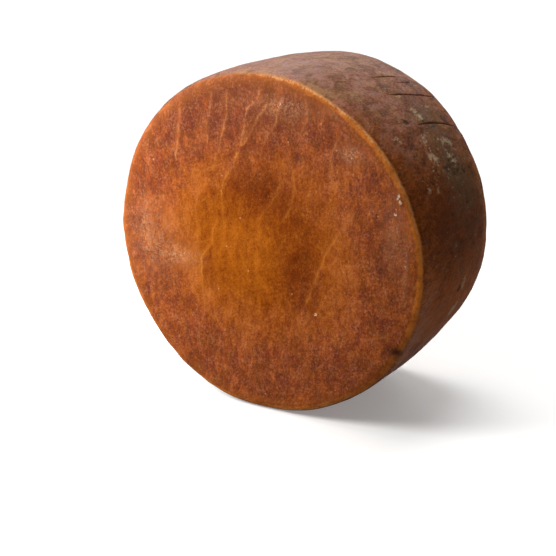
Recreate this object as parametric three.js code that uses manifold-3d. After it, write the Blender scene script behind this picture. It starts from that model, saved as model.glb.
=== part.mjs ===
// A whole wheel of smoked sheep cheese, standing on its rim on a small foot that its own weight has pressed flat.
// Millimetres, +Z up. The wheel's axis lies along Y, its front face looks towards -Y, and the origin is on the
// table under the middle of the wheel. Angles round the wheel run from +X (0 degrees) towards +Z (90 degrees).

import * as THREE from "three";
import { mergeVertices } from "three/addons/utils/BufferGeometryUtils.js";
import Module from "manifold-3d";

// Driving dimensions.
const RADIUS = 100; // of the side, at mid thickness
const THICKNESS = 98; // from face to face
const SIDE_BOW = 2.6; // how far the side swells between its two edges
const SIDE_TAPER = 1; // the front edge is this much fuller than the middle, and the back edge this much slimmer
const FRONT_EDGE = 5; // rounding between the front face and the side
const BACK_EDGE = 6; // rounding between the back face and the side
const FRONT_DISH = 1.8; // how far the middle of the front face has sunk
const BACK_DISH = 1.2; // how far the middle of the back face has sunk
const FOOT_DEPTH = 1.2; // how much of the rim is pressed flat where the wheel stands

// Unevenness of a hand-made wheel: each row is turns round the wheel, height and phase in degrees.
const RIM_WAVE = [
  [1, 0.95, 0],
  [2, 1.6, 56],
  [3, 0.55, 84],
]; // front edge, along the axis
const LOBES = [[3, 0.25, 38]]; // side, along the radius
const SWELL_COUNT = 7; // crossing waves that dent and swell the whole skin
const SWELL_HEIGHT = 0.11; // of each wave
const SWELL_LONGEST = 95; // longest wave
const SWELL_SHORTEST = 34; // shortest wave

// Drying cracks that run across the side towards the back edge: angle of the middle, start and end along the axis,
// lean from the axis in degrees, sideways bow and width at the middle.
const CRACK_DEPTH = 2.4;
const CRACKS = [
  { angle: 64.8, start: 3.5, end: 31, lean: -9, bow: 0.4, width: 1.1 },
  { angle: 54.4, start: -1.5, end: 40.5, lean: -14, bow: 0.6, width: 1.4 },
  { angle: 41.7, start: -4, end: 41, lean: -10.5, bow: 1.6, width: 1.5 },
  { angle: 151, start: 6, end: 38, lean: 8, bow: 0.8, width: 1.2 },
  { angle: 162.5, start: -12, end: 19, lean: 11, bow: -0.7, width: 1.0 },
  { angle: 214, start: -2, end: 37, lean: -7, bow: 1.1, width: 1.3 },
  { angle: 318, start: 8, end: 40, lean: 12, bow: 0.6, width: 1.2 },
];

// Fineness of the facets.
const SLICES = 96; // round the wheel
const FACE_STEPS = 12; // from the middle of a face to its edge
const EDGE_STEPS = 5; // round an edge
const SIDE_STEPS = 14; // across the side
const CRACK_STEPS = 7; // along each lip of a crack
const MERGE_DISTANCE = 1e-4; // corners closer than this are one

// Colour and finish of the smoked rind.
const RIND_COLOUR = 0x9a4f24;
const RIND_ROUGHNESS = 0.6;

const HALF = THICKNESS / 2;
const GOLDEN_ANGLE = Math.PI * (3 - Math.sqrt(5));
const radians = THREE.MathUtils.degToRad;

// Radius of the side at a place along the axis, before any unevenness.
function sideRadius(along) {
  const share = along / HALF;
  return RADIUS - SIDE_BOW * share * share - SIDE_TAPER * share;
}

// Half of the wheel's section, from the middle of the front face round to the middle of the back face.
function halfSection() {
  const frontEdge = new THREE.Vector2(sideRadius(FRONT_EDGE - HALF) - FRONT_EDGE, FRONT_EDGE - HALF);
  const backEdge = new THREE.Vector2(sideRadius(HALF - BACK_EDGE) - BACK_EDGE, HALF - BACK_EDGE);
  const front = new THREE.CubicBezierCurve(
    new THREE.Vector2(0, FRONT_DISH - HALF),
    new THREE.Vector2(frontEdge.x * 0.4, FRONT_DISH - HALF),
    new THREE.Vector2(frontEdge.x * 0.6, -HALF),
    new THREE.Vector2(frontEdge.x, -HALF),
  );
  const frontRound = new THREE.EllipseCurve(
    frontEdge.x, frontEdge.y, FRONT_EDGE, FRONT_EDGE, -Math.PI / 2, 0,
  );
  const side = Array.from({ length: SIDE_STEPS + 1 }, (_, step) => {
    const along = THREE.MathUtils.lerp(frontEdge.y, backEdge.y, step / SIDE_STEPS);
    return new THREE.Vector2(sideRadius(along), along);
  });
  const backRound = new THREE.EllipseCurve(backEdge.x, backEdge.y, BACK_EDGE, BACK_EDGE, 0, Math.PI / 2);
  const back = new THREE.CubicBezierCurve(
    new THREE.Vector2(backEdge.x, HALF),
    new THREE.Vector2(backEdge.x * 0.6, HALF),
    new THREE.Vector2(backEdge.x * 0.4, HALF - BACK_DISH),
    new THREE.Vector2(0, HALF - BACK_DISH),
  );
  const points = [
    ...front.getPoints(FACE_STEPS),
    ...frontRound.getPoints(EDGE_STEPS).slice(1),
    ...side.slice(1),
    ...backRound.getPoints(EDGE_STEPS).slice(1),
    ...back.getPoints(FACE_STEPS).slice(1),
  ];
  points[0].x = 0;
  points[points.length - 1].x = 0;
  return points;
}

// Sum of waves round the wheel, at an angle in radians.
function wavesRound(rows, angle) {
  return rows.reduce((sum, [turns, height, phase]) => sum + height * Math.cos(turns * angle + radians(phase)), 0);
}

// Height of the crossing waves in the skin at a point: plane waves whose directions follow a golden spiral.
function swell(point) {
  let height = 0;
  for (let wave = 0; wave < SWELL_COUNT; wave += 1) {
    const share = (wave + 0.5) / SWELL_COUNT;
    const slope = 1 - 2 * share;
    const turn = wave * GOLDEN_ANGLE;
    const flat = Math.sqrt(1 - slope * slope);
    const direction = new THREE.Vector3(flat * Math.cos(turn), flat * Math.sin(turn), slope);
    const length = SWELL_LONGEST * (SWELL_SHORTEST / SWELL_LONGEST) ** share;
    height += SWELL_HEIGHT * Math.sin((2 * Math.PI * point.dot(direction)) / length + 2 * turn);
  }
  return height;
}

// Moves a point of the true wheel to where the uneven skin is.
function unevenPoint(point) {
  const angle = Math.atan2(point.z, point.x);
  const radius = Math.hypot(point.x, point.z);
  const outward = THREE.MathUtils.clamp(radius / RADIUS, 0, 1);
  const frontShare = THREE.MathUtils.clamp(0.5 - point.y / THICKNESS, 0, 1);
  const height = swell(point);
  const grown = radius + outward * wavesRound(LOBES, angle);
  const moved = new THREE.Vector3(
    grown * Math.cos(angle),
    point.y + outward ** 3 * frontShare * wavesRound(RIM_WAVE, angle),
    grown * Math.sin(angle),
  );
  return moved.addScaledVector(point.clone().normalize(), height);
}

// The uneven wheel, before it is cracked and set down.
function skinGeometry() {
  const geometry = new THREE.LatheGeometry(halfSection(), SLICES);
  const position = geometry.getAttribute("position");
  const point = new THREE.Vector3();
  for (let corner = 0; corner < position.count; corner += 1) {
    point.fromBufferAttribute(position, corner);
    const moved = unevenPoint(point);
    position.setXYZ(corner, moved.x, moved.y, moved.z);
  }
  return geometry;
}

// A thin blade with pointed ends, set into the side where a crack gapes. Its own X runs along the crack and its
// own Z points out of the wheel.
function crackBlade({ angle, start, end, lean, bow, width }) {
  const half = (end - start) / 2 / Math.cos(radians(lean));
  const outline = new THREE.Shape();
  outline.moveTo(-half, 0);
  outline.quadraticCurveTo(0, 2 * bow - width, half, 0);
  outline.quadraticCurveTo(0, 2 * bow + width, -half, 0);
  const blade = new THREE.ExtrudeGeometry(outline, {
    depth: 3 * CRACK_DEPTH,
    curveSegments: CRACK_STEPS,
    bevelEnabled: false,
  });
  const middle = (start + end) / 2;
  const outward = new THREE.Vector3(Math.cos(radians(angle)), 0, Math.sin(radians(angle)));
  const along = new THREE.Vector3(0, 1, 0).applyAxisAngle(outward, radians(lean));
  const across = new THREE.Vector3().crossVectors(outward, along);
  const place = new THREE.Matrix4().makeBasis(along, across, outward);
  place.setPosition(outward.clone().multiplyScalar(sideRadius(middle) - CRACK_DEPTH).setY(middle));
  return blade.applyMatrix4(place);
}

// The block of space under the wheel, which the foot is pressed flat against.
function tableBlock() {
  const depth = RADIUS;
  const block = new THREE.BoxGeometry(4 * RADIUS, 4 * RADIUS, depth);
  return block.translate(0, 0, FOOT_DEPTH - RADIUS - depth / 2);
}

const wasm = await Module();
wasm.setup();

// A closed geometry as a solid: shared corners are merged, and triangles that shrank to a line are left out.
function solidOf(geometry) {
  geometry.deleteAttribute("normal");
  geometry.deleteAttribute("uv");
  const merged = mergeVertices(geometry, MERGE_DISTANCE);
  const corners = merged.index.array;
  const triangles = [];
  for (let first = 0; first < corners.length; first += 3) {
    const [a, b, c] = corners.slice(first, first + 3);
    if (a !== b && b !== c && c !== a) triangles.push(a, b, c);
  }
  return new wasm.Manifold(
    new wasm.Mesh({
      numProp: 3,
      vertProperties: merged.getAttribute("position").array,
      triVerts: new Uint32Array(triangles),
    }),
  );
}

// A solid's surface as a geometry that can be drawn.
function geometryOf(solid) {
  const surface = solid.getMesh();
  const geometry = new THREE.BufferGeometry();
  geometry.setAttribute("position", new THREE.BufferAttribute(surface.vertProperties, 3));
  geometry.setIndex(new THREE.BufferAttribute(surface.triVerts, 1));
  geometry.computeVertexNormals();
  return geometry;
}

// The finished wheel: cracked, pressed flat at the foot, and centred over the origin.
function cheeseWheel() {
  const cuts = [...CRACKS.map(crackBlade), tableBlock()];
  const solid = cuts.reduce((rest, cut) => rest.subtract(solidOf(cut)), solidOf(skinGeometry()));
  const geometry = geometryOf(solid);
  geometry.computeBoundingBox();
  const middle = geometry.boundingBox.getCenter(new THREE.Vector3());
  const rind = new THREE.MeshStandardMaterial({ color: RIND_COLOUR, roughness: RIND_ROUGHNESS, metalness: 0 });
  const wheel = new THREE.Mesh(geometry, rind);
  wheel.name = "cheese_wheel";
  wheel.position.set(-middle.x, -middle.y, RADIUS - FOOT_DEPTH);
  return wheel;
}

const cheese = new THREE.Group();
cheese.add(cheeseWheel());

export default cheese;
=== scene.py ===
"""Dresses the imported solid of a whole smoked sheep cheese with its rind, on a pale studio floor.

Y is the wheel's own axis, its front face looks towards -Y, and Z is up. Angles run from +X (0 degrees) to
+Z (90 degrees). Places on the rind are in millimetres from the wheel's middle, and meshes are in metres.
"""

import math
from collections import namedtuple

import bpy
import numpy as np
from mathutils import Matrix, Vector


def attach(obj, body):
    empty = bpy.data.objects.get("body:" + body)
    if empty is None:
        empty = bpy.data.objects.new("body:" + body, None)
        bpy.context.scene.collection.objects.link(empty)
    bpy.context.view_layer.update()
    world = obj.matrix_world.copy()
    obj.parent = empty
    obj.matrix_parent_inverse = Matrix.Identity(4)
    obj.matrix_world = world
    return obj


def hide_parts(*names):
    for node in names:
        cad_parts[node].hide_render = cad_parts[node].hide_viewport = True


bl_info = {
    "name": "Smoked Cheese Wheel",
    "version": (1, 0, 0),
    "blender": (4, 5, 0),
    "location": "3D View > Sidebar > Cheese",
    "description": "Makes the rind of a smoked cheese wheel and the studio that it stands in",
    "category": "Add Mesh",
}

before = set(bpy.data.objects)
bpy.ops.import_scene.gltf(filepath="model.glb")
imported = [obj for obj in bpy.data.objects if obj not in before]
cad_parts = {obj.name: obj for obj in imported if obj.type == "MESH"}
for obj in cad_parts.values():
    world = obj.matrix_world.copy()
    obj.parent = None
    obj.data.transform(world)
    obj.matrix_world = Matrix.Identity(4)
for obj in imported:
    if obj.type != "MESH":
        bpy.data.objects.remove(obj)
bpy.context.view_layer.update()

MM = 0.001
NODE = "cheese_wheel"
BODY = "root"
MAP = "OFBake"

# Fineness of the rind's mesh: cells across each face, and rows over the side from rim to rim.
CAP_CELLS = 150
BAND_ROWS = 90

# The flat map, 0 to 1: the faces are discs, and the band between them lies below in two strips.
DISC_MIDDLES = ((0.25, 0.76), (0.75, 0.76))
DISC_RADIUS = 0.235
STRIP_CORNERS = ((0.01, 0.005), (0.01, 0.255))
STRIP_LENGTH, STRIP_WIDTH = 0.98, 0.245

# Unevenness of a hand-made wheel: turns round the wheel, height in millimetres and phase in degrees.
RIM_WAVE = ((1, 0.95, 0), (2, 1.6, 56), (3, 0.55, 84))
LOBES = ((3, 0.25, 38),)
SWELL_COUNT = 7
SWELL_HEIGHT = 0.11 * MM
SWELL_LONGEST = 95 * MM
SWELL_SHORTEST = 34 * MM

# Noises in the rind's relief: size of a cell in millimetres, and seed.
DENTS = (26, 11)
LUMPS = (10, 12)
WRINKLES = (4.6, 13)
CREASES = (2.4, 14)
KNOCKS = (7, 15)
CREASE_SHARE = 0.6  # height of the creases for each wrinkle's
KNOCK_REACH = 4  # from the edge's ridge, in millimetres
SCAR_SHARE = 2  # depth of a scar for each knock's
LATTICE = 64  # random values along each edge of the noise lattice

# Drying cracks across the side: angle of the middle and lean in degrees, the rest in millimetres.
Crack = namedtuple("Crack", "angle start end lean bow width")
CRACKS = (
    Crack(64.8, 3, 32, -12, 0.3, 0.8),
    Crack(60.2, 20, 36, -12, 0.2, 0.4),
    Crack(54.4, -2, 42, -14, 0.6, 1.0),
    Crack(41.4, -4, 42, -12, 1.8, 0.9),
    Crack(151, 6, 38, 8, 0.8, 1.2),
    Crack(162.5, -12, 19, 11, -0.7, 1.0),
    Crack(214, -2, 37, -7, 1.1, 1.3),
    Crack(318, 8, 40, 12, 0.6, 1.2),
)
CRACK_CROWDING = 3.6  # extra columns of the mesh at a crack, for each one elsewhere
CRACK_REACH = math.radians(2.6)  # half the width of the crowded stretch
LEAN_REACH = math.radians(7)  # half the width of the stretch that leans with a crack
CROWDED_FROM = 0.75  # the columns crowd together only from this share of a face's radius outwards
CROWDING_STEPS = 7200  # steps in which the crowding is added up
CRACK_STEEPNESS = 1.3  # of a crack's walls
CRACK_SLIMMEST = 0.05  # a crack is no slimmer than this opening makes it
CRACK_FAR = 9  # half widths from a crack where it has no more effect
CRACK_LIMIT = 4  # larger distances are kept as this

# Pale veins in a face: how strongly each shows, and its line of (across, up) points.
VEINS = (
    (0.7, ((-53, 72), (-54, 63), (-55, 57), (-56, 45))),
    (0.6, ((-31, 85), (-33, 73), (-35, 66), (-35, 58))),
    (0.8, ((-21, 84), (-21, 72), (-24.5, 63), (-26.5, 53))),
    (0.8, ((0, 88), (-3, 83), (-8, 78), (-10, 71), (-10.5, 65), (-13, 56), (-16, 50))),
    (0.9, ((-16, 50), (-18, 44), (-22, 40), (-24.5, 35), (-26, 26))),
    (0.28, ((-26, 26), (-26, 18), (-25.5, 12), (-26, -3))),
    (0.65, ((4, 81), (1, 77), (-3, 70), (-7, 63), (-13, 56))),
    (0.6, ((13, 85), (11, 78), (10.5, 73), (6, 67), (3, 61))),
    (0.55, ((29, 86), (30, 78), (26, 69), (24, 65))),
    (0.35, ((-18, 45), (-28, 44), (-36, 40), (-46, 34))),
    (0.6, ((-30, 11), (-33, 6), (-34, -4), (-38, -8), (-41, -13), (-41, -23))),
    (0.35, ((-41, -23), (-38, -44), (-43, -61))),
    (0.4, ((-43.5, 2), (-43.5, -4), (-42.5, -9), (-41, -13))),
    (0.7, ((58, 28), (50, 17), (42, 5), (38, -4), (34, -15), (29, -27))),
    (0.3, ((29, -27), (25, -45))),
    (0.35, ((13, 46), (12, 38), (9, 31), (5, 25), (1, 20), (-4, 13))),
    (0.35, ((20, 49), (21.5, 37), (19, 26), (14, 18))),
    (0.5, ((47, 66), (44, 58), (45, 50))),
    (0.2, ((-9, -8), (-3, -4), (2, 1), (6, 6))),
    (0.3, ((-8, -32), (-13, -51), (-9, -69))),
    (0.5, ((66, -42), (72, -40), (78, -37))),
)
VEIN_REACH = 3.4  # a vein's own strip reaches this far to each side, in millimetres

# Smoke on a face, with painted shade in some patches: its thickness, soft patches (across, up, half width,
# half height and strength), and a ring where it is thinner (radius, half width and strength).
SMOKE = 0.5
SMOKE_AND_SHADE_PATCHES = (
    # Painted shade: the thick smoke at the top (8, 76) and on the right (78, 0) of the front face is partly
    # real smoke and partly shade where the key light falls off, and the patch at (58, -62) darkens the
    # lower right as a shadow would.
    (8, 76, 66, 22, 0.37), (-16, 72, 34, 26, 0.16), (-86, 14, 8, 24, 0.2), (-58, 62, 34, 26, 0.2),
    (78, 0, 24, 60, 0.22), (-66, 52, 12, 10, 0.12), (-66, -27, 15, 13, 0.14), (-76, -6, 18, 22, 0.1),
    (-62, 10, 26, 30, -0.06), (0, -74, 66, 22, 0.18), (58, -62, 24, 16, 0.14), (-6, -2, 34, 32, -0.2),
    (14, 25, 28, 16, 0.2), (-6, 37, 20, 14, 0.22), (-50, 42, 18, 12, -0.1), (-14, 92, 20, 5, 0.15),
    (24, 49, 22, 8, -0.1), (24, -13, 16, 24, 0.38), (50, 2, 14, 40, -0.18), (72, 50, 12, 12, -0.1),
)
RING_RADIUS, RING_HALF, RING_STRENGTH = 54, 10, -0.16

# Other soft patches on a face, in the same way.
FACE_PATCHES = {
    "damp": ((-4, 2, 58, 52, 1.2),),
    "bloom": (
        (-57, -14, 13, 6, 0.8), (-80, 4, 3, 15, 0.4), (-76, -6, 16, 20, 0.5), (14, 82, 18, 6, 0.6),
        (50, 82, 12, 4, 0.4), (57, 61, 7, 5, 0.9), (82, 20, 6, 18, 0.5), (88.5, 2, 1.6, 12, 0.6),
    ),
    "specks": (
        (84.5, 41.5, 1.8, 2.8, 1.4), (83, 33, 2, 5, 0.8), (88.5, 12, 2.2, 9, 0.5),
        (75.5, 2, 1.8, 1.8, 0.6), (56, 61, 5, 3, 0.5), (25, 85, 6, 3, 0.5), (13, 83, 6, 3, 0.4),
        (35, -33, 1.5, 2, 1), (4, -8.5, 1.5, 1.5, 0.8), (-58, -14, 8, 4, 0.4),
    ),
    # Partly painted shade: these knocks are painted dark for the shade in their hollows as well as for dark
    # spots.
    "scar": (
        (84.5, -46, 2.6, 2.6, 1), (80, -46.5, 3, 3, 0.5), (23.5, 54.5, 2.4, 2.8, 0.6),
        (75, -0.5, 2.4, 1.8, 0.6),
    ),
}
FACE_FROM = 0.3  # a face's marks end where the edge has turned this far from it
BACK_TURN = math.radians(200)  # the back face is the front mirrored, and its angles count down from here

# Soft patches on the side: angle in degrees, place along the axis, half widths, and strength.
SIDE_PATCHES = {
    # Partly painted light: these patches make the top of the side and the strip below the front edge's top
    # paler, as light and sheen from above fall there, besides real dusty patches elsewhere.
    "dust_and_sheen": (
        (92, -22, 40, 46, 1), (114, -20, 30, 60, -0.7), (64, -8, 30, 40, 0.5), (74, -47, 38, 6, 1.2),
        (4, 42, 40, 6, 1.3), (14, -4, 26, 60, -0.9), (-22, 0, 30, 60, 1.1), (-16, -41, 34, 10, 1.3),
        (190, 0, 80, 60, -0.5), (230, 5, 60, 60, -0.5),
    ),
    # Painted sheen: the greyish patches on the top of the side (108 and 84 degrees) stand for a grazing
    # sheen; the patches round the back are a plain greyish cast.
    "haze_and_sheen": (
        (108, -10, 38, 60, 0.6), (84, -32, 16, 24, 0.35), (175, 0, 40, 50, 0.3), (300, 10, 50, 40, 0.3),
    ),
    "rust": (
        (38, -41, 36, 9, 0.7), (15, -4, 28, 45, 0.9), (-10, 0, 44, 50, 1), (2, 42, 36, 7, -0.2),
        (52, 38, 22, 5, 0.5), (150, -36, 40, 9, 0.35), (218, 0, 66, 60, 0.3), (205, 30, 24, 8, 0.2),
        (285, -38, 40, 9, 0.7), (330, 34, 26, 8, 0.7),
    ),
    "film": (
        (28, 10, 26, 20, 0.85), (46, 14, 10, 16, 0.6), (12, 22, 22, 20, 0.3), (-8, 2, 32, 26, 0.25),
        (165, 8, 40, 26, 0.8), (262, -8, 46, 24, 0.8),
    ),
    "mould": (
        (34, 4, 24, 20, 0.2), (33.5, -8, 3, 4, 0.9), (39, -4, 3.6, 4, 0.8), (30.5, -5, 2.4, 3, 0.6),
        (49, 6, 4, 4, 0.7), (46.5, 7, 2.4, 3, 0.6), (36, 14, 2.4, 4.5, 0.9), (31, 11, 2, 3, 0.9),
        (29, 16, 2.2, 4, 0.7), (34, 22, 4, 4, 0.5), (24.5, -25, 2, 3, 0.9), (42, -30, 3, 4, 0.7),
        (48.5, 24, 2.4, 4, 0.7), (59, 34, 3, 4.5, 0.6), (55.5, 7, 1.6, 5, 0.6), (24, 4, 8, 16, 0.15),
        (-28, 14, 12, 14, 0.2), (160, 12, 24, 18, 0.35), (262, -8, 28, 16, 0.35),
    ),
    "pits": (
        (46.5, -11, 2.6, 3.6, 0.9), (35.5, -24, 1.8, 2.6, 0.7), (28, 2, 3.4, 9, 0.7),
        (25.5, 13, 3.4, 8, 0.75), (37, 17, 2, 4, 0.7), (24.5, 23, 2.8, 2.6, 0.9), (19, -8, 2.4, 4, 0.7),
        (14, -9, 2, 2.4, 0.8), (15, 14, 2.2, 2.4, 0.7), (38, 45, 2.6, 2.6, 0.9),
    ),
}
SIDE_LIMITS = (-1, 1.6)  # least and greatest strength of patches that overlap
SIDE_RISE = 2.2  # how fast the side's marks set in where an edge turns to the side

# More flecks on the part of the side past the listed ones: seed, and half widths in millimetres.
SCATTERED = {"mould": (21, 3.4, 2.8), "pits": (22, 2.4, 3)}
SCATTER_COUNT = 22
SCATTER_ANGLES = (85, 350)
SCATTER_MIDDLE, SCATTER_SPREAD, SCATTER_LIMIT = 2, 17, 36  # along the axis, in millimetres
SCATTER_SIZES = (0.6, 1.5)
SCATTER_STRENGTHS = (0.45, 0.9)

# Finish of the edges by angle, partly worn rind and partly a painted highlight on the ridge: strength all
# round, then the middle and half width of each stretch in degrees, and the strength that it adds.
EDGES = {
    "edge_wear_and_highlight": (
        0.06,
        ((72, 14, 0.3), (40, 24, 0.7), (-6, 26, 0.95), (205, 25, 0.3), (250, 20, 0.35), (290, 28, 0.6)),
    ),
    "edge_line_and_highlight": (0.05, ((74, 18, 0.6), (44, 16, 0.8), (14, 12, 0.25), (200, 20, 0.5), (285, 20, 0.5))),
    "edge_band": (0.2, ((62, 24, 0.4), (108, 30, 0.35), (180, 40, 0.35), (270, 30, 0.4))),
}
EDGE_LIMITS = (-24, 14)  # distances from an edge's ridge are kept within these, in millimetres

# Noises in the colours: size in millimetres, octaves of detail, roughness and twist.
GRAIN = (1.4, 3, 0.65, 0.6)
CRYSTALS = (2, 3, 0.6, 0)
THICK_FIBRES = (2.8, 2, 0.5, 1.2)
THIN_FIBRES = (1.5, 2, 0.5, 1)
FIBRE_COVER = (7, 3, 0.6, 0)
SMUDGES = (1.2, 3, 0.65, 0.4)
SMUDGE_COVER = (8, 3, 0.6, 0)
FACE_MOTTLE = (15, 5, 0.62, 0.6)
FACE_STREAKS = (4.2, 4, 0.6, 0.8)
FACE_HUE = (10, 4, 0.55, 0.8)
SIDE_BROAD = (14, 4, 0.6, 0)
SIDE_STREAKS = (5.2, 5, 0.65, 0.6)
SIDE_FINE = (1.2, 2, 0.6, 0)
SIDE_HUE = (12, 5, 0.65, 0.8)
SIDE_FLECKS = (3.4, 4, 0.7, 0.6)
SIDE_HOLES = (2.2, 4, 0.7, 0.4)
EDGE_WOBBLE = (8, 5, 0.7, 0)
EDGE_PATCHES = (6, 5, 0.7, 0)
FLOOR_CLOUD = (600, 2, 0.5, 0)

# Sizes of the cells in the rind, in millimetres.
PORES, DOTS, FRECKLES = 1.9, 11, 1.8

# Scales along X, Y and Z that draw patterns out.
FACE_DRAWN = (1, 1, 0.45)
SMUDGE_DRAWN = (1, 1, 0.75)
SIDE_DRAWN = (1, 0.55, 1)

SMOKE_STOPS = (0, 0.35, 0.65, 1)  # where the four tones of smoke lie, from thin to thick
PORE_SHARE = 0.35  # height of the pores for each grain's
BUMP_STRENGTH, BUMP_DEPTH = 0.5, 0.5 * MM
SPECULAR = 0.05

# The studio: where the lights stand as seen from the wheel, their sizes, the camera's sensor and the floor.
KEY_SIDE = Vector((-0.32, -0.30, 0.17)).normalized()
KEY_DISTANCE = 0.38
KEY_SIZE = 0.2
BACK_SIDE = Vector((-0.30, 1.0, 0.42)).normalized()
TOP_SIDE = Vector((-0.20, 0.20, 1.0)).normalized()
SUN_SPREAD = math.radians(40)
SENSOR = 36
FLOOR_HALF = 20.0
FLOOR_GLOW = 0.2  # light of the floor's own, as on a light table
FLOOR_ROUGHNESS = 0.9
FLOOR_LIFT = 1.02  # how much brighter the palest part of the floor is
WHITE = (1, 1, 1, 1)


def srgb(red, green, blue):
    """A colour as seen on a screen, 0 to 255, in linear values by the screen's own curve."""
    seen = np.array((red, green, blue)) / 255
    linear = np.where(seen <= 0.04045, seen / 12.92, ((seen + 0.055) / 1.055) ** 2.4)
    return tuple(float(value) for value in linear)


def number(name, description, default, **kind):
    """A property that holds a number, with its unit or subtype."""
    return bpy.props.FloatProperty(name=name, description=description, default=default, **kind)


def length(name, description, default):
    """A property that holds a length, with its default in millimetres."""
    return number(name, description, default * MM, unit="LENGTH", subtype="DISTANCE", precision=5)


def tint(name, description, *seen):
    """A property that holds a colour, with its default as seen on a screen."""
    return bpy.props.FloatVectorProperty(
        name=name, description=description, default=srgb(*seen), size=3, min=0, max=1, subtype="COLOR"
    )


class WheelSizes(bpy.types.PropertyGroup):
    """Sizes of the wheel and of the relief in its rind."""

    radius: length("Radius", "Radius of the side at mid thickness", 100)
    thickness: length("Thickness", "Distance from face to face", 98)
    side_bow: length("Side bow", "How far the side swells between its edges", 2.6)
    side_taper: length("Side taper", "How much fuller the front edge is than the middle", 1)
    front_edge: length("Front edge", "Rounding between the front face and the side", 5)
    back_edge: length("Back edge", "Rounding between the back face and the side", 6)
    front_dish: length("Front dish", "How far the middle of the front face has sunk", 1.8)
    back_dish: length("Back dish", "How far the middle of the back face has sunk", 1.2)
    foot_depth: length("Foot", "How much of the rim is pressed flat", 1.2)
    crack_depth: length("Crack depth", "Depth of the drying cracks", 1.2)
    vein_height: length("Vein height", "How far the veins stand out of a face", 0.08)
    knock_depth: length("Knocks", "Depth of the knocks in the edges", 0.35)
    pit_depth: length("Pits", "Depth of the dark pits in the side", 0.4)
    dent_height: length("Dents", "Height of the broad dents", 0.3)
    lump_height: length("Lumps", "Height of the finger-sized lumps", 0.14)
    wrinkle_height: length("Wrinkles", "Height of the small wrinkles", 0.09)


class RindColours(bpy.types.PropertyGroup):
    """Colours of the rind, from thin smoke to thick smoke, and of what lies on it. Some are partly painted
    highlight, sheen or shade.
    """

    tan: tint("Tan", "Thinnest smoke on a face", 182, 100, 44)
    russet: tint("Russet", "Thin smoke on a face", 153, 73, 22)
    umber: tint("Umber", "Thick smoke on a face", 120, 54, 23)
    soot: tint("Soot", "Thickest smoke on a face", 88, 38, 18)
    ochre: tint("Ochre", "Yellower patches of a face", 146, 78, 24)
    rose: tint("Rose", "Redder patches of a face", 126, 54, 40)
    amber: tint("Amber", "Palest part of the damp middle", 178, 96, 18)
    honey: tint("Honey", "Most of the damp middle", 152, 76, 5)
    stain: tint("Stain", "Dark part of the damp middle", 120, 50, 1)
    tar: tint("Tar", "Darkest part of the damp middle", 86, 31, 0)
    # Partly painted sheen: the pale wisps stand for a slight sheen on the fibres as well as for pale
    # fibres.
    wisp_and_sheen: tint("Wisp", "Fine pale fibres on a face", 211, 132, 90)
    # Partly painted highlight: the bead and the line along the edges are worn rind and also the highlight
    # on the ridge.
    bead: tint("Bead", "Amber bead along the edges", 238, 136, 48)
    edge: tint("Edge", "Worn line along the edges", 255, 186, 120)
    gold: tint("Gold", "Veins in the damp middle", 208, 124, 40)
    vein: tint("Vein", "Pale veins", 197, 121, 70)
    bloom: tint("Bloom", "Dusty bloom on the faces", 208, 150, 108)
    # Partly painted shade: dark spots, and the shade in the hollows of the knocks.
    scar: tint("Scar", "Knocks and dark spots", 44, 26, 30)
    side_dark: tint("Side dark", "Darkest part of the side", 46, 22, 8)
    side_brown: tint("Side brown", "Most of the side", 134, 81, 48)
    # Partly painted light and sheen: the pale end of the side's tones, which lights the top of the side.
    side_pale_and_sheen: tint("Side pale", "Dusty part of the side", 182, 138, 122)
    # Painted sheen: the greyish cast laid over the top of the side.
    haze_and_sheen: tint("Haze", "Greyish haze on the side", 156, 124, 116)
    olive: tint("Olive", "Yellower patches of the side", 244, 246, 200)
    brick: tint("Brick", "Redder patches of the side", 255, 222, 194)
    mauve: tint("Mauve", "Bluer patches of the side", 246, 230, 212)
    rust: tint("Rust", "Reddish patches on the side", 108, 48, 0)
    copper: tint("Copper", "Reddish patches where the side is dusty", 178, 90, 26)
    # Painted shade: the dark between a crack's walls.
    crack: tint("Crack", "Inside of the cracks", 62, 34, 20)
    film: tint("Film", "Greyish film round the mould", 100, 79, 52)
    mould: tint("Mould", "Mould flecks", 216, 186, 150)
    pit: tint("Pit", "Dark pits in the side", 40, 30, 14)
    salt: tint("Salt", "White specks", 238, 214, 182)


class StudioSettings(bpy.types.PropertyGroup):
    """The camera, the lights and the floor."""

    azimuth: number("Azimuth", "Camera's angle round the wheel", math.radians(31), subtype="ANGLE")
    elevation: number("Elevation", "Camera's angle above the floor", math.radians(19.76), subtype="ANGLE")
    distance: length("Distance", "From the camera to the point that it aims at", 720)
    aim_right: length("Aim right", "How far the aim is to the right of the wheel's middle", -15.15)
    aim_up: length("Aim up", "How far the aim is above the wheel's middle", -30.56)
    lens: number("Lens", "Focal length on a 36 mm sensor, in millimetres", 78.8)
    floor: tint("Floor", "Colour of the floor", 244, 243, 241)
    sky: number("Sky", "Strength of the soft light from above", 0.18)
    bounce: number("Bounce", "Strength of the soft light from below", 0.32)
    backdrop: number("Backdrop", "Brightness of the sky in view", 1.0)
    key_power: number("Key", "Power of the key light", 2.2, unit="POWER")
    back_strength: number("Back", "Strength of the soft light from behind", 1.1)
    top_strength: number("Top", "Strength of the soft top light", 1.9)


def hill(value):
    """A bell curve: e to the power of minus the value's square."""
    return np.exp(-(value**2))


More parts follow.
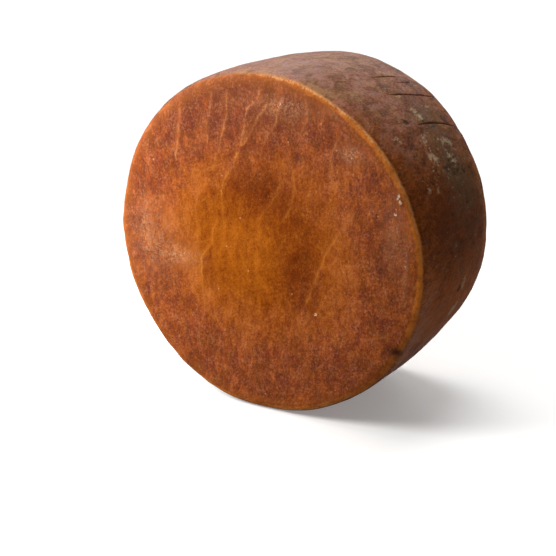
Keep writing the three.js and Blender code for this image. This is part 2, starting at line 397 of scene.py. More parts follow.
def disc_grid(cells):
    """A square grid wrapped on a disc. A point's share of the radius is the larger of its two square
    coordinates, and its angle runs evenly along the square's sides, so that cells keep nearly one size."""
    line = np.linspace(-1, 1, cells + 1)
    across, up = np.meshgrid(line, line, indexing="ij")
    share = np.maximum(np.abs(across), np.abs(up))
    wide = np.abs(across) >= np.abs(up)
    longer = np.where(wide, across, up)
    ratio = np.where(wide, up, across) / np.where(longer == 0, 1, longer)
    turn = np.where(wide, ratio, 2 - ratio) * math.pi / 4 + np.where(longer < 0, math.pi, 0)
    return share, turn


def cell_corners(grid):
    """The four corners of each cell of a grid, in turn round the cell."""
    return np.stack([grid[:-1, :-1], grid[1:, :-1], grid[1:, 1:], grid[:-1, 1:]], axis=2)


def wheel_grid(cells, rows):
    """The wheel's skin as one closed grid: a disc for each face and a band of rings between their rims.
    Returns each point's place (0 to 1 out along the front face, 1 to 2 across the band, 2 to 3 in along the
    back face) and angle, and the quads by point."""
    share, cap_turn = disc_grid(cells)
    columns = 4 * cells
    cap = np.arange(share.size).reshape(share.shape)
    rim = np.concatenate([cap[-1, :-1], cap[:0:-1, -1], cap[0, :0:-1], cap[:-1, 0]])
    ring_turn = 2 * math.pi * np.arange(columns) / columns - math.pi / 4
    ring_place = 1 + np.arange(1, rows) / rows
    place = np.concatenate([share.ravel(), np.repeat(ring_place, columns), 3 - share.ravel()])
    turn = np.concatenate([cap_turn.ravel(), np.tile(ring_turn, rows - 1), cap_turn.ravel()])
    inner = share.size + np.arange((rows - 1) * columns).reshape(rows - 1, columns)
    back_first = share.size + inner.size
    rings = np.vstack([rim, inner, rim + back_first])
    front = cell_corners(cap)
    band = cell_corners(np.hstack([rings, rings[:, :1]]))
    back = front[..., ::-1] + back_first
    quads = np.concatenate([part.reshape(-1, 4) for part in (front, band, back)])
    return place, turn, quads


def flat_map(cells, rows):
    """Place of each quad's corners on the flat map: a disc for each face, and the band cut in two equal
    strips, each a plain grid."""
    share, turn = disc_grid(cells)
    reach = DISC_RADIUS * share
    row, column = np.meshgrid(np.linspace(0, 1, rows + 1), np.linspace(0, 1, 2 * cells + 1), indexing="ij")
    spots = [(across + reach * np.cos(turn), up + reach * np.sin(turn)) for across, up in DISC_MIDDLES]
    spots += [(left + STRIP_LENGTH * column, low + STRIP_WIDTH * row) for left, low in STRIP_CORNERS]
    front, back, *strips = [cell_corners(np.stack(spot, axis=-1)) for spot in spots]
    parts = (front, np.concatenate(strips, axis=1), back[..., ::-1, :])
    return np.concatenate([part.reshape(-1, 2) for part in parts])


def side_radius(along, sizes):
    """Radius of the side: the full radius less a bow that grows with the square of the distance from the
    middle, and less a taper that grows evenly towards the back."""
    share = 2 * along / sizes.thickness
    return sizes.radius - sizes.side_bow * share**2 - sizes.side_taper * share


def sunk(dish, share):
    """How far a face is sunk at a share t of its radius: the dish times 1 - 3t^2 + 2t^3."""
    return dish * (1 - 3 * share**2 + 2 * share**3)


def half_section(place, sizes):
    """Half of the wheel's section by place. The band walks at even length round the front edge's quarter
    circle, along the side and round the back edge's. A face draws its rim in towards the axis, and is sunk.
    Returns radius, place along the axis, and the outward direction's share along each."""
    front, back = sizes.front_edge, sizes.back_edge
    quarter = math.pi / 2
    straight = sizes.thickness - front - back
    walk = np.clip(place - 1, 0, 1) * (straight + quarter * (front + back))
    front_turn = np.clip(walk / front, 0, quarter)
    back_turn = np.clip((walk - front * quarter - straight) / back, 0, quarter)
    on_side = front - sizes.thickness / 2 + np.clip(walk - front * quarter, 0, straight)
    rim = side_radius(on_side, sizes) - front * (1 - np.sin(front_turn)) - back * (1 - np.cos(back_turn))
    front_share, back_share = np.clip(place, 0, 1), np.clip(3 - place, 0, 1)
    along = on_side - front * np.cos(front_turn) + back * np.sin(back_turn)
    along += sunk(sizes.front_dish, front_share) - sunk(sizes.back_dish, back_share)
    normal_out = np.sin(front_turn) * np.cos(back_turn)
    normal_along = np.sin(back_turn) - np.cos(front_turn)
    return rim * front_share * back_share, along, normal_out, normal_along


def crack_sway(along, crack):
    """How far a crack's line lies round the wheel from its middle, in millimetres: a straight lean along
    its length plus a bow of 4t(1 - t). Past its ends it stays where it ended. Also returns t, its share of
    the length."""
    span = crack.end - crack.start
    share = np.clip((along / MM - crack.start) / span, 0, 1)
    lean = (share - 0.5) * span * math.tan(math.radians(crack.lean))
    return lean + crack.bow * 4 * share * (1 - share), share


def turn_apart(turn, angle):
    """The shorter way round from an angle in degrees to each turn in radians."""
    return (turn - math.radians(angle) + math.pi) % (2 * math.pi) - math.pi


def crowd_turns(turn, place):
    """Moves the even columns of the grid closer together at the cracks: each keeps its share of the area
    under a density of one plus a hill at every crack. On a face the move fades away towards the middle."""
    fine = np.linspace(0, 2 * math.pi, CROWDING_STEPS + 1)
    hills = sum(hill(turn_apart(fine, crack.angle) / CRACK_REACH) for crack in CRACKS)
    density = 1 + CRACK_CROWDING * hills
    area = np.concatenate([[0], np.cumsum((density[1:] + density[:-1]) / 2)])
    crowded = np.interp(turn % (2 * math.pi), area / area[-1] * 2 * math.pi, fine)
    moved = turn_apart(crowded - turn, 0)
    outward = np.minimum(place, 3 - place)
    return turn + moved * np.clip((outward - CROWDED_FROM) / (1 - CROWDED_FROM), 0, 1)


def lean_turns(turn, along, sizes):
    """Leans the columns near each crack with it, by the crack's sway, faded by a hill on either side."""
    near = [hill(turn_apart(turn, crack.angle) / LEAN_REACH) for crack in CRACKS]
    sway = sum(share * crack_sway(along, crack)[0] for share, crack in zip(near, CRACKS))
    return turn + sway * MM / sizes.radius / np.maximum(sum(near), 1)


def waves_round(rows, turn):
    """Sum of waves round the wheel, each a height times the cosine of its turns and phase, in metres."""
    return sum(height * MM * np.cos(count * turn + math.radians(phase)) for count, height, phase in rows)


def crossing_waves(points):
    """Sum of plane waves whose directions follow a golden spiral and whose lengths shrink evenly."""
    golden = math.pi * (3 - math.sqrt(5))
    height = np.zeros(len(points))
    for wave in range(SWELL_COUNT):
        share = (wave + 0.5) / SWELL_COUNT
        slope = 1 - 2 * share
        flat = math.sqrt(1 - slope**2)
        direction = (flat * math.cos(wave * golden), flat * math.sin(wave * golden), slope)
        span = SWELL_LONGEST * (SWELL_SHORTEST / SWELL_LONGEST) ** share
        height += SWELL_HEIGHT * np.sin(2 * math.pi * (points @ direction) / span + 2 * wave * golden)
    return height


def lattice_noise(points, cell, seed):
    """Smooth random height from -1 to 1: random values on a cubic lattice with cells of the given size in
    millimetres, blended across each cell by 3t^2 - 2t^3 along each axis."""
    table = np.random.default_rng(seed).uniform(-1, 1, (LATTICE, LATTICE, LATTICE))
    where = points / (cell * MM)
    base = np.floor(where).astype(int)
    part = where - base
    blend = part * part * (3 - 2 * part)
    height = np.zeros(len(points))
    for corner in np.ndindex(2, 2, 2):
        weight = np.prod(np.where(corner, blend, 1 - blend), axis=1)
        height += weight * table[tuple(((base + corner) % LATTICE).T)]
    return height


def patches(across, up, rows):
    """Sum of soft patches: each is its strength times a bell curve in two directions."""
    total = np.zeros_like(across)
    for middle_across, middle_up, half_across, half_up, strength in rows:
        total += strength * hill((across - middle_across) / half_across) * hill((up - middle_up) / half_up)
    return total


def side_patches(turn, along, rows, sizes):
    """Soft patches on the side, where across is the way round the wheel, in millimetres."""
    total = np.zeros_like(turn)
    for angle, *row in rows:
        round_mm = turn_apart(turn, angle) * sizes.radius / MM
        total += patches(round_mm, along / MM, ((0, *row),))
    return total


def scattered(seed, half_round, half_along):
    """Rows of small patches on the side, at random places with random sizes round the given ones."""
    draw = np.random.default_rng(seed)
    angle = draw.uniform(*SCATTER_ANGLES, SCATTER_COUNT)
    along = draw.normal(SCATTER_MIDDLE, SCATTER_SPREAD, SCATTER_COUNT).clip(-SCATTER_LIMIT, SCATTER_LIMIT)
    size = draw.uniform(*SCATTER_SIZES, SCATTER_COUNT)
    strength = draw.uniform(*SCATTER_STRENGTHS, SCATTER_COUNT)
    return np.column_stack([angle, along, half_round * size, half_along * size, strength])


def vein_lines(across, up):
    """For each point of a face, its signed distance from the nearest vein in millimetres, and how present
    the vein is there: full within half its strip, and gone at the strip's border. Places are complex
    numbers, so that dividing by a stretch of a vein measures along and across it."""
    spot = across + 1j * up
    signed = np.full_like(across, VEIN_REACH)
    presence = np.zeros_like(across)
    for strength, line in VEINS:
        ends = [complex(*point) for point in line]
        for start, end in zip(ends, ends[1:]):
            share = (spot - start) / (end - start)
            away = np.abs(share - np.clip(share.real, 0, 1)) * abs(end - start)
            closer = away < np.abs(signed)
            signed = np.where(closer, np.where(share.imag < 0, -away, away), signed)
            presence = np.where(closer, strength, presence)
    return signed, presence * np.clip(2 - 2 * np.abs(signed) / VEIN_REACH, 0, 1)


def crack_lines(turn, along, sizes):
    """For each point of the side, its signed distance from the nearest crack in half widths of that crack,
    and how open the crack is there: 4t(1 - t) along its length, and nothing past its ends."""
    signed = np.full_like(turn, CRACK_FAR)
    opening = np.zeros_like(turn)
    for crack in CRACKS:
        sway, share = crack_sway(along, crack)
        round_mm = turn_apart(turn, crack.angle) * sizes.radius / MM - sway
        lens = 4 * share * (1 - share)
        distance = round_mm / (crack.width / 2 * np.sqrt(np.maximum(lens, CRACK_SLIMMEST)))
        closer = (np.abs(distance) < np.abs(signed)) & (lens > 0)
        signed = np.where(closer, distance, signed)
        opening = np.where(closer, lens, opening)
    return np.clip(signed, -CRACK_LIMIT, CRACK_LIMIT), opening


def edge_distance(place, sizes):
    """Signed distance in millimetres from the ridge of the nearer edge, along the section: positive on the
    side and negative on the face. The ridge is half way round the edge's quarter circle."""
    front, back = sizes.front_edge, sizes.back_edge
    quarter = math.pi / 2
    band = sizes.thickness - front - back + quarter * (front + back)
    walk = np.clip(place - 1, 0, 1) * band
    on_front = np.clip(1 - place, 0, 1) * sizes.radius
    on_back = np.clip(place - 2, 0, 1) * sizes.radius
    from_front = walk - on_front - front * quarter / 2
    from_back = band - walk - on_back - back * quarter / 2
    return np.minimum(from_front, from_back) / MM


def by_stretches(turn, base, rows):
    """A value that varies round the wheel: the same all round, and more by a hill at each stretch."""
    hills = (more * hill(turn_apart(turn, angle) / math.radians(half)) for angle, half, more in rows)
    return base + sum(hills)


def rind_finish(place, turn, skin, normal_along, sizes):
    """Named values of the rind at each point: which part is a face, the smoke's thickness with painted
    shade in places, distances from the edge's ridge, veins and cracks, and patches, some of which are
    painted sheen, highlight or shade. The back takes the front's, mirrored and turned."""
    radius = np.hypot(skin[:, 0], skin[:, 2]) / MM
    face_turn = np.where(place > 1.5, BACK_TURN - turn, turn)
    across, up = radius * np.cos(face_turn), radius * np.sin(face_turn)
    along = skin[:, 1]
    face = np.clip(np.abs(normal_along), 0, 1)
    on_face = face > FACE_FROM
    on_side = np.clip(SIDE_RISE * (1 - face), 0, 1)
    ring = RING_STRENGTH * hill((radius - RING_RADIUS) / RING_HALF)
    vein_offset, vein_presence = vein_lines(across, up)
    crack_offset, crack_opening = crack_lines(turn, along, sizes)
    finish = {
        "face": face,
        # The smoke's thickness holds painted shade in some patches.
        "smoke": SMOKE + patches(across, up, SMOKE_AND_SHADE_PATCHES) + ring,
        "edge_offset": np.clip(edge_distance(place, sizes), *EDGE_LIMITS),
        "vein_offset": vein_offset,
        "vein_presence": vein_presence * on_face,
        "crack_offset": crack_offset,
        "crack_opening": crack_opening * (1 - face),
    }
    for name, (base, rows) in EDGES.items():
        finish[name] = by_stretches(face_turn, base, rows)
    for name, rows in FACE_PATCHES.items():
        finish[name] = np.clip(patches(across, up, rows), 0, 1) * on_face
    for name, rows in SIDE_PATCHES.items():
        flecks = scattered(*SCATTERED[name]) if name in SCATTERED else ()
        spots = side_patches(turn, along, (*rows, *flecks), sizes)
        finish[name] = np.clip(spots, *SIDE_LIMITS) * on_side
    return finish


def rind_relief(skin, finish, sizes):
    """Height of the rind's relief: broad dents, lumps and wrinkles of falling size, veins that stand out a
    little, edges knocked here and there, pits, and cracks that sink in as a hill across their width."""
    dents = sizes.dent_height * lattice_noise(skin, *DENTS)
    lumps = sizes.lump_height * lattice_noise(skin, *LUMPS)
    creased = lattice_noise(skin, *WRINKLES) + CREASE_SHARE * lattice_noise(skin, *CREASES)
    wrinkles = sizes.wrinkle_height * creased
    worn = hill(finish["edge_offset"] / KNOCK_REACH) * np.clip(lattice_noise(skin, *KNOCKS), 0, 1)
    knocks = sizes.knock_depth * (worn + SCAR_SHARE * finish["scar"])
    veins = sizes.vein_height * finish["vein_presence"] * hill(finish["vein_offset"])
    gaping = np.sqrt(finish["crack_opening"]) * hill(CRACK_STEEPNESS * finish["crack_offset"])
    cracks = sizes.crack_depth * gaping
    pits = sizes.pit_depth * finish["pits"]
    return dents + lumps + wrinkles + veins - knocks - cracks - pits


def wheel_surface(sizes):
    """Points, quads and finish of the whole wheel. The section is turned round the axis, uneven by the same
    waves as the solid, raised or sunk along its outward direction by the relief, and set on its foot."""
    place, even_turn, quads = wheel_grid(CAP_CELLS, BAND_ROWS)
    radius, along, normal_out, normal_along = half_section(place, sizes)
    turn = lean_turns(crowd_turns(even_turn, place), along, sizes)
    across, up = np.cos(turn), np.sin(turn)
    skin = np.column_stack([radius * across, along, radius * up])
    outward = np.column_stack([normal_out * across, normal_along, normal_out * up])
    finish = rind_finish(place, turn, skin, normal_along, sizes)
    reach = np.clip(radius / sizes.radius, 0, 1)
    front_share = np.clip(0.5 - along / sizes.thickness, 0, 1)
    grown = radius + reach * waves_round(LOBES, turn)
    wavy = along + reach**3 * front_share * waves_round(RIM_WAVE, turn)
    points = np.column_stack([grown * across, wavy, grown * up])
    away = skin / np.maximum(np.linalg.norm(skin, axis=1, keepdims=True), 1e-9)
    points += away * crossing_waves(skin)[:, None]
    points += outward * rind_relief(skin, finish, sizes)[:, None]
    low, high = points.min(axis=0), points.max(axis=0)
    points[:, :2] -= (low + high)[:2] / 2
    points[:, 2] = np.maximum(points[:, 2] + sizes.radius - sizes.foot_depth, 0)
    return points, quads, finish


def opaque(colour):
    """A colour with its opacity, or the socket that gives one."""
    return colour if isinstance(colour, bpy.types.NodeSocket) else (*colour, 1)


class NodeBench:
    """Short words for making and joining the nodes of one material or sky."""

    def __init__(self, owner):
        owner.use_nodes = True
        self.tree = owner.node_tree
        self.tree.nodes.clear()
        self.coordinates = self.node("TexCoord").outputs
        self.place = self.coordinates["Object"]

    def node(self, kind, inputs=None, **settings):
        """A shader node with settings by name, and inputs by name or number as values or sockets."""
        made = self.tree.nodes.new("ShaderNode" + kind)
        for name, value in settings.items():
            setattr(made, name, value)
        for key, value in (inputs or {}).items():
            if isinstance(value, bpy.types.NodeSocket):
                self.tree.links.new(value, made.inputs[key])
            else:
                made.inputs[key].default_value = value
        return made

    def attribute(self, name):
        return self.node("Attribute", attribute_name=name).outputs["Fac"]

    def math(self, operation, *values):
        return self.node("Math", dict(enumerate(values)), operation=operation).outputs[0]

    def product(self, first, *others):
        for other in others:
            first = self.math("MULTIPLY", first, other)
        return first

    def span(self, value, low, high, to_low=0.0, to_high=1.0, smooth=False):
        """A value's stretch from low to high turned into another stretch, and held at its ends."""
        kind = "SMOOTHSTEP" if smooth else "LINEAR"
        ends = dict(enumerate((value, low, high, to_low, to_high)))
        return self.node("MapRange", ends, interpolation_type=kind).outputs[0]

    def bell(self, value, width):
        """One where a value is nought, falling smoothly to nothing at the width on either side."""
        return self.span(self.math("ABSOLUTE", value), 0, width, 1, 0, smooth=True)

    def shifted(self, base, *noises):
        """A value moved up and down by noises round their middle, each with its strength."""
        for noise, strength in noises:
            base = self.math("MULTIPLY_ADD", self.math("SUBTRACT", noise, 0.5), strength, base)
        return base

    def cover(self, name, low, high, top, *noises, smooth=False):
        """How far a named value's patches cover, from nought to the top, with borders torn by noises."""
        return self.span(self.shifted(self.attribute(name), *noises), low, high, 0, top, smooth)

    def stretched(self, scale):
        return self.node("Mapping", {"Vector": self.place, "Scale": scale}).outputs[0]

    def noise(self, size, detail, rough, warp, where=None):
        shape = {"Scale": 1 / (size * MM), "Detail": detail, "Roughness": rough, "Distortion": warp}
        return self.node("TexNoise", {"Vector": where or self.place, **shape}).outputs["Fac"]

    def cells(self, size, where=None):
        shape = {"Vector": where or self.place, "Scale": 1 / (size * MM)}
        return self.node("TexVoronoi", shape).outputs["Distance"]

    def ramp(self, value, *stops):
        made = self.node("ValToRGB", {"Fac": value})
        line = made.color_ramp.elements
        while len(line) < len(stops):
            line.new(0.5)
        for element, (position, colour) in zip(line, stops):
            element.position = position
            element.color = opaque(colour)
        return made.outputs["Color"]

    def mix(self, share, first, second, blend="MIX"):
        inputs = {0: share, 6: opaque(first), 7: opaque(second)}
        return self.node("Mix", inputs, data_type="RGBA", blend_type=blend).outputs[2]

    def surface(self, inputs):
        """A shader with the given inputs, as the surface of the material."""
        shader = self.node("BsdfPrincipled", inputs)
        self.node("OutputMaterial", {"Surface": shader.outputs[0]})


def fibre_web(bench):
    """Web of fine fibres, 0 to 1: lines where twisted noises cross their middle, fading in and out."""
    noises = [bench.noise(*shape) for shape in (THICK_FIBRES, THIN_FIBRES)]
    lines = [bench.bell(bench.math("SUBTRACT", noise, 0.5), 0.045) for noise in noises]
    cover = bench.span(bench.noise(*FIBRE_COVER), 0.38, 0.64)
    return bench.product(bench.math("MAXIMUM", *lines), cover)


def pale_smudges(bench):
    """Soft pale smudges, 0 to 1, drawn out upwards as by dripping, and thicker in some places."""
    drawn = bench.noise(*SMUDGES, bench.stretched(SMUDGE_DRAWN))
    return bench.span(bench.shifted(drawn, (bench.noise(*SMUDGE_COVER), 0.5)), 0.5, 0.8)


def face_ground(bench, colours, mottle, streaks, grain):
    """Ground of the faces: smoke from tan to soot by its thickness, which in places is painted shade,
    redder and yellower in patches, and amber to tar in the damp middle. Also returns how damp it is."""
    smoke = bench.attribute("smoke")
    dry_tones = zip(SMOKE_STOPS, (colours.tan, colours.russet, colours.umber, colours.soot))
    damp_tones = zip(SMOKE_STOPS, (colours.amber, colours.honey, colours.stain, colours.tar))
    dry = bench.ramp(bench.shifted(smoke, (mottle, 1), (streaks, 2.1), (grain, 1.8)), *dry_tones)
    damp = bench.ramp(bench.shifted(smoke, (mottle, 0.6), (streaks, 0.8), (grain, 0.7)), *damp_tones)
    hue = bench.ramp(bench.noise(*FACE_HUE), (0.36, colours.ochre), (0.64, colours.rose))
    soaked = bench.cover("damp", 0.1, 0.95, 1, (mottle, 0.9), smooth=True)
    return bench.mix(soaked, bench.mix(0.32, dry, hue), damp), soaked


def face_colour(bench, colours, grain):
    """Colour of the faces: the smoked ground, an ochre band inside the edge, then pale smudges and fibres
    that are partly a painted sheen, dots, the pale veins and the bloom."""
    mottle = bench.noise(*FACE_MOTTLE)
    streaks = bench.noise(*FACE_STREAKS, bench.stretched(FACE_DRAWN))
    ground, soaked = face_ground(bench, colours, mottle, streaks, grain)
    rim = bench.shifted(bench.attribute("edge_offset"), (mottle, 8), (streaks, 3))
    torn = bench.span(bench.shifted(grain, (streaks, 0.8)), 0.36, 0.6, 0.45, 1)
    strip = bench.bell(bench.math("ADD", rim, 3.6), 4.8)
    inner = bench.product(strip, torn, bench.attribute("edge_band"))
    banded = bench.mix(inner, ground, colours.ochre)
    smoky = bench.span(bench.attribute("smoke"), 0.3, 0.75, 0.54, 0.46)
    pale = bench.product(bench.span(bench.math("MAXIMUM", soaked, inner), 0, 1, 1, 0.5), smoky)
    # Partly painted sheen: the pale smudges and fibres.
    wisp_and_sheen = bench.mix(soaked, colours.wisp_and_sheen, colours.gold)
    smudged = bench.mix(bench.product(pale_smudges(bench), pale), banded, wisp_and_sheen)
    fibred = bench.mix(bench.product(fibre_web(bench), pale, 0.35), smudged, wisp_and_sheen)
    dots = bench.span(bench.cells(DOTS), 0.03, 0.065, 0.55, 0)
    dotted = bench.mix(dots, fibred, colours.bloom)
    offset = bench.shifted(bench.attribute("vein_offset"), (streaks, 3), (grain, 2.4))
    glow = bench.product(bench.bell(offset, 2.6), 0.3)
    line = bench.math("MULTIPLY_ADD", bench.bell(offset, 0.9), 0.65, glow)
    broken = bench.span(bench.shifted(grain, (mottle, 1.6)), 0.36, 0.66, 0.15, 1)
    vein = bench.product(line, bench.attribute("vein_presence"), broken)
    veined = bench.mix(vein, dotted, bench.mix(soaked, colours.vein, colours.gold))
    powder = bench.product(bench.attribute("bloom"), bench.span(grain, 0.42, 0.62, 0.05, 0.7))
    return bench.mix(powder, veined, colours.bloom)


def side_ground(bench, colours, drawn, broad, streaks, fine):
    """Ground of the side: dark to dusty brown, paler on the top of the side partly as painted light from
    above, tinted yellower, redder and bluer in patches, greyer in places with a painted sheen on the top,
    and rusty in others, or copper where it is dusty. Also returns how rusty it is."""
    # The pale end of these tones is partly painted light on the top of the side.
    tone = bench.math("MULTIPLY_ADD", bench.attribute("dust_and_sheen"), 0.32, 0.42)
    tone = bench.shifted(tone, (broad, 0.8), (streaks, 1.8), (fine, 0.9))
    brown = bench.ramp(tone, (0, colours.side_dark), (0.5, colours.side_brown), (1, colours.side_pale_and_sheen))
    hue = bench.noise(*SIDE_HUE, drawn)
    cast = bench.ramp(hue, (0.42, colours.olive), (0.53, colours.brick), (0.63, colours.mauve))
    # Painted sheen in part: a greyish cast over the top of the side.
    haze_and_sheen_share = bench.cover("haze_and_sheen", 0, 1, 0.9, (hue, 1.2), (streaks, 0.6))
    tinted = bench.mix(haze_and_sheen_share, bench.mix(1, brown, cast, blend="MULTIPLY"), colours.haze_and_sheen)
    rusty = bench.cover("rust", 0, 0.9, 0.85, (hue, -0.8), (streaks, 0.9))
    coppery = bench.cover("dust_and_sheen", -0.6, 1, 1, (streaks, 2.4), (fine, 1.6))
    return bench.mix(rusty, tinted, bench.mix(coppery, colours.rust, colours.copper)), rusty


def side_colour(bench, colours):
    """Colour of the side: the dusty or rusty ground with painted light and sheen on its top, freckled with
    small dark dots and a pale web, then a greyish film with crumbs of mould, and dark soil and pits."""
    drawn = bench.stretched(SIDE_DRAWN)
    shapes = (SIDE_BROAD, SIDE_STREAKS, SIDE_FINE, SIDE_FLECKS, SIDE_HOLES)
    broad, streaks, fine, flecks, holes = (bench.noise(*shape, drawn) for shape in shapes)
    ground, rusty = side_ground(bench, colours, drawn, broad, streaks, fine)
    freckles = bench.span(bench.cells(FRECKLES, drawn), 0.12, 0.34, 0.42, 0)
    freckled = bench.mix(freckles, ground, colours.side_dark)
    web = bench.mix(rusty, colours.side_pale_and_sheen, colours.copper)
    dusted = bench.mix(bench.product(fibre_web(bench), 0.2), freckled, web)
    film = bench.cover("film", 0.15, 0.9, 0.7, (flecks, 2.2), (broad, 1))
    filmed = bench.mix(film, dusted, colours.film)
    crumbs = bench.cover("mould", 0.4, 1.2, 0.75, (flecks, 2.6), (fine, 1.2))
    mouldy = bench.mix(crumbs, filmed, colours.mould)
    soil = bench.cover("film", 0.95, 1.4, 0.8, (holes, 4))
    pitted = bench.cover("pits", 0.4, 0.9, 0.85, (holes, 3))
    return bench.mix(bench.math("MAXIMUM", soil, pitted), mouldy, colours.pit)


def edge_colour(bench, colours, rind, grain):
    """The rind with its worn edges: an amber bead over the ridge, and a pale broken line along it that
    falls off sharply towards the side. Both are partly worn rind and partly a painted highlight on the
    ridge."""
    wobble = bench.noise(*EDGE_WOBBLE)
    offset = bench.shifted(bench.attribute("edge_offset"), (wobble, 3.6), (grain, 1.6))
    inside = bench.span(offset, -3.4, -1.6, smooth=True)
    outside = bench.span(offset, -0.2, 1.6, 1, 0, smooth=True)
    patchy = bench.span(bench.noise(*EDGE_PATCHES), 0.38, 0.58, 0.4, 1)
    bead = bench.product(inside, outside, bench.attribute("edge_wear_and_highlight"), patchy)
    beaded = bench.mix(bead, rind, colours.bead)
    broken = bench.span(bench.shifted(wobble, (grain, 0.8)), 0.41, 0.58, 0.1, 1)
    line = bench.product(bench.bell(offset, 1.5), bench.attribute("edge_line_and_highlight"), broken)
    return bench.mix(line, beaded, colours.edge)


def crack_colour(bench, colours, rind, grain):
    """The rind with its cracks: painted shade, dark between the walls, and rusty on the dried lip below it,
    which is partly painted shade.
    """
    offset = bench.shifted(bench.attribute("crack_offset"), (grain, 1.2))
    opened = bench.span(bench.attribute("crack_opening"), 0, 0.3)
    lip = bench.bell(bench.math("ADD", offset, 1.9), 1.3)
    lipped = bench.mix(bench.product(lip, opened, 0.4), rind, colours.rust)
    # Painted shade: the dark between the crack's walls.
    gap = bench.bell(offset, 0.9)
    return bench.mix(bench.product(gap, opened), lipped, colours.crack)


def rind_material(colours):
    """The smoked rind: faces and side blended at the edges, knocks that are partly painted shade, white
    specks near the rim and dark cracks with painted shade in them, with fine leathery grain in the bump and
    a dry satin gloss."""
    material = bpy.data.materials.new("smoked_rind")
    bench = NodeBench(material)
    grain = bench.noise(*GRAIN)
    facing = bench.span(bench.attribute("face"), 0.5, 0.88, smooth=True)
    rind = bench.mix(facing, side_colour(bench, colours), face_colour(bench, colours, grain))
    edged = edge_colour(bench, colours, rind, grain)
    # Partly painted shade: the knocks darkened for the shade in their hollows.
    scarred = bench.mix(bench.product(bench.attribute("scar"), 0.9), edged, colours.scar)
    specks = bench.cover("specks", 0.75, 1.05, 0.8, (bench.noise(*CRYSTALS), 3))
    specked = bench.mix(specks, scarred, colours.salt)
    height = bench.math("MULTIPLY_ADD", bench.cells(PORES), PORE_SHARE, grain)
    bump = {"Strength": BUMP_STRENGTH, "Distance": BUMP_DEPTH, "Height": height}
    bench.surface(
        {
            "Base Color": crack_colour(bench, colours, specked, grain),
            "Roughness": bench.span(grain, 0.3, 0.7, 0.66, 0.5),
            "Normal": bench.node("Bump", bump).outputs[0],
            "Specular IOR Level": SPECULAR,
        }
    )
    return material


def floor_material(colour):
    """Pale studio floor with the faintest cloudiness and a little light of its own."""
    material = bpy.data.materials.new("studio_floor")
    bench = NodeBench(material)
    paler = tuple(min(1.0, channel * FLOOR_LIFT) for channel in colour)
    bench.surface(
        {
            "Base Color": bench.ramp(bench.noise(*FLOOR_CLOUD), (0.3, colour), (0.7, paler)),
            "Roughness": FLOOR_ROUGHNESS,
            "Emission Color": WHITE,
            "Emission Strength": FLOOR_GLOW,
        }
    )
    return material


def placed(name, data):
    """A new object in the scene, at the origin."""
    made = bpy.data.objects.new(name, data)
    bpy.context.scene.collection.objects.link(made)
    return made


def mesh_object(name, points, quads, material):
    """A smooth mesh object at the origin, from whole arrays of points and quads."""
    mesh = bpy.data.meshes.new(name)
    mesh.vertices.add(len(points))
    mesh.vertices.foreach_set("co", points.astype(np.float32).ravel())
    mesh.loops.add(quads.size)
    mesh.loops.foreach_set("vertex_index", quads.astype(np.int32).ravel())
    mesh.polygons.add(len(quads))
    mesh.polygons.foreach_set("loop_start", np.arange(0, quads.size, 4, dtype=np.int32))
    mesh.update(calc_edges=True)
    mesh.validate()
    mesh.shade_smooth()
    mesh.materials.append(material)
    return placed(name, mesh)


def add_values(mesh, values):
    """Stores named values for each point in the mesh, for its material to read."""
    for name, value in values.items():
        layer = mesh.attributes.new(name, "FLOAT", "POINT")
        layer.data.foreach_set("value", value.astype(np.float32))


class CHEESE_OT_wheel(bpy.types.Operator):
    """Makes the wheel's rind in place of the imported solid."""

    bl_idname = "cheese.wheel"
    bl_label = "Cheese wheel"

    def execute(self, context):
        scene = context.scene
        points, quads, finish = wheel_surface(scene.cheese_sizes)
        material = rind_material(scene.cheese_colours)
        wheel = mesh_object("cheese_wheel_rind", points, quads, material)
        add_values(wheel.data, finish)
        layer = wheel.data.uv_layers.new(name=MAP)
        layer.data.foreach_set("uv", flat_map(CAP_CELLS, BAND_ROWS).astype(np.float32).ravel())
        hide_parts(NODE)
        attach(wheel, BODY)
        return {"FINISHED"}


class CHEESE_OT_studio(bpy.types.Operator):
    """Makes the floor, the lights, the sky and the camera."""

    bl_idname = "cheese.studio"
    bl_label = "Studio"

    def execute(self, context):
        studio = context.scene.cheese_studio
        sizes = context.scene.cheese_sizes
        middle = Vector((0, 0, sizes.radius - sizes.foot_depth))
        add_floor(studio)
        add_lights(studio, middle)
        add_sky(studio)
        add_camera(studio, middle)
        context.scene.view_settings.view_transform = "Standard"
        return {"FINISHED"}


def add_floor(studio):
    """A wide flat floor that throws no light back, so that the wheel's far side stays dark."""
    points = FLOOR_HALF * np.array(((-1, -1, 0), (1, -1, 0), (1, 1, 0), (-1, 1, 0)))
    floor = mesh_object("studio_floor", points, np.array(((0, 1, 2, 3),)), floor_material(studio.floor))
    floor.visible_diffuse = False
    floor.visible_glossy = False


def aimed(back):
    """The turn that points a light or camera against a direction."""
    return (-back).to_track_quat("-Z", "Y").to_euler()


def soft_light(name, kind, energy, towards):
    """A light that shines from a direction and isn't seen itself."""
    light = placed(name, bpy.data.lights.new(name, kind))
    light.data.energy = energy
    light.rotation_euler = aimed(towards)
    light.visible_camera = False
    return light


def add_lights(studio, middle):
    """A soft key close by on the upper left, a broad low light from behind that gives the wheel's top a
    sheen, and an even light from above."""
    key = soft_light("key_light", "AREA", studio.key_power, KEY_SIDE)
    key.data.shape = "DISK"
    key.data.size = KEY_SIZE
    key.location = middle + KEY_SIDE * KEY_DISTANCE
    soft_light("back_light", "SUN", studio.back_strength, BACK_SIDE).data.angle = SUN_SPREAD
    soft_light("top_light", "SUN", studio.top_strength, TOP_SIDE).data.angle = SUN_SPREAD


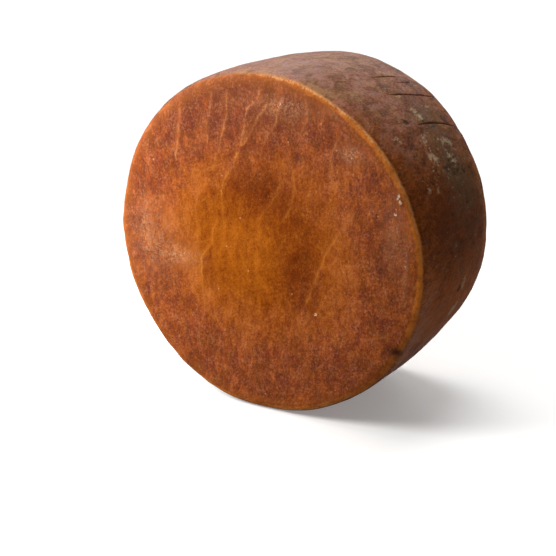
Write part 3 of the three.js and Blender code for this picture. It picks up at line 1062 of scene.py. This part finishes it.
def add_sky(studio):
    """A sky that is dim as a light, stronger from below than from above, but pale where it shows."""
    world = bpy.data.worlds.new("studio_sky")
    bench = NodeBench(world)
    height = bench.node("SeparateXYZ", {0: bench.coordinates["Generated"]}).outputs["Z"]
    soft = bench.span(height, -1, 1, studio.bounce, studio.sky)
    in_view = bench.node("LightPath").outputs["Is Camera Ray"]
    strength = bench.span(in_view, 0, 1, soft, studio.backdrop)
    glow = bench.node("Background", {"Color": WHITE, "Strength": strength})
    bench.node("OutputWorld", {"Surface": glow.outputs[0]})
    bpy.context.scene.world = world


def add_camera(studio, middle):
    """The camera, aimed a little to the side of and below the wheel's middle."""
    turn, flat = studio.azimuth, math.cos(studio.elevation)
    back = Vector((math.sin(turn) * flat, -math.cos(turn) * flat, math.sin(studio.elevation)))
    right = (-back).cross(Vector((0, 0, 1))).normalized()
    up = right.cross(-back)
    camera = placed("camera", bpy.data.cameras.new("camera"))
    camera.data.sensor_width = SENSOR
    camera.data.lens = studio.lens
    camera.location = middle + right * studio.aim_right + up * studio.aim_up + back * studio.distance
    camera.rotation_euler = aimed(back)
    bpy.context.scene.camera = camera


class CHEESE_PT_panel(bpy.types.Panel):
    """Sidebar panel with the sizes, the colours, the studio and the buttons that make the pieces."""

    bl_idname = "CHEESE_PT_panel"
    bl_label = "Smoked cheese wheel"
    bl_space_type = "VIEW_3D"
    bl_region_type = "UI"
    bl_category = "Cheese"

    def draw(self, context):
        for setting in SETTINGS:
            group = getattr(context.scene, setting)
            box = self.layout.box()
            for name in group.__annotations__:
                box.prop(group, name)
        for operator in OPERATORS:
            self.layout.operator(operator.bl_idname)


SETTINGS = {"cheese_sizes": WheelSizes, "cheese_colours": RindColours, "cheese_studio": StudioSettings}
OPERATORS = (CHEESE_OT_wheel, CHEESE_OT_studio)
CLASSES = (*SETTINGS.values(), *OPERATORS, CHEESE_PT_panel)


def register():
    """Registers the classes and hangs the settings on the scene."""
    for cls in CLASSES:
        bpy.utils.register_class(cls)
    for name, group in SETTINGS.items():
        setattr(bpy.types.Scene, name, bpy.props.PointerProperty(type=group))


def unregister():
    """Takes the settings off the scene and the classes out again."""
    for name in SETTINGS:
        delattr(bpy.types.Scene, name)
    for cls in reversed(CLASSES):
        bpy.utils.unregister_class(cls)


def main():
    """Makes the wheel and its studio."""
    register()
    bpy.ops.cheese.wheel()
    bpy.ops.cheese.studio()


if __name__ == "__main__":
    main()
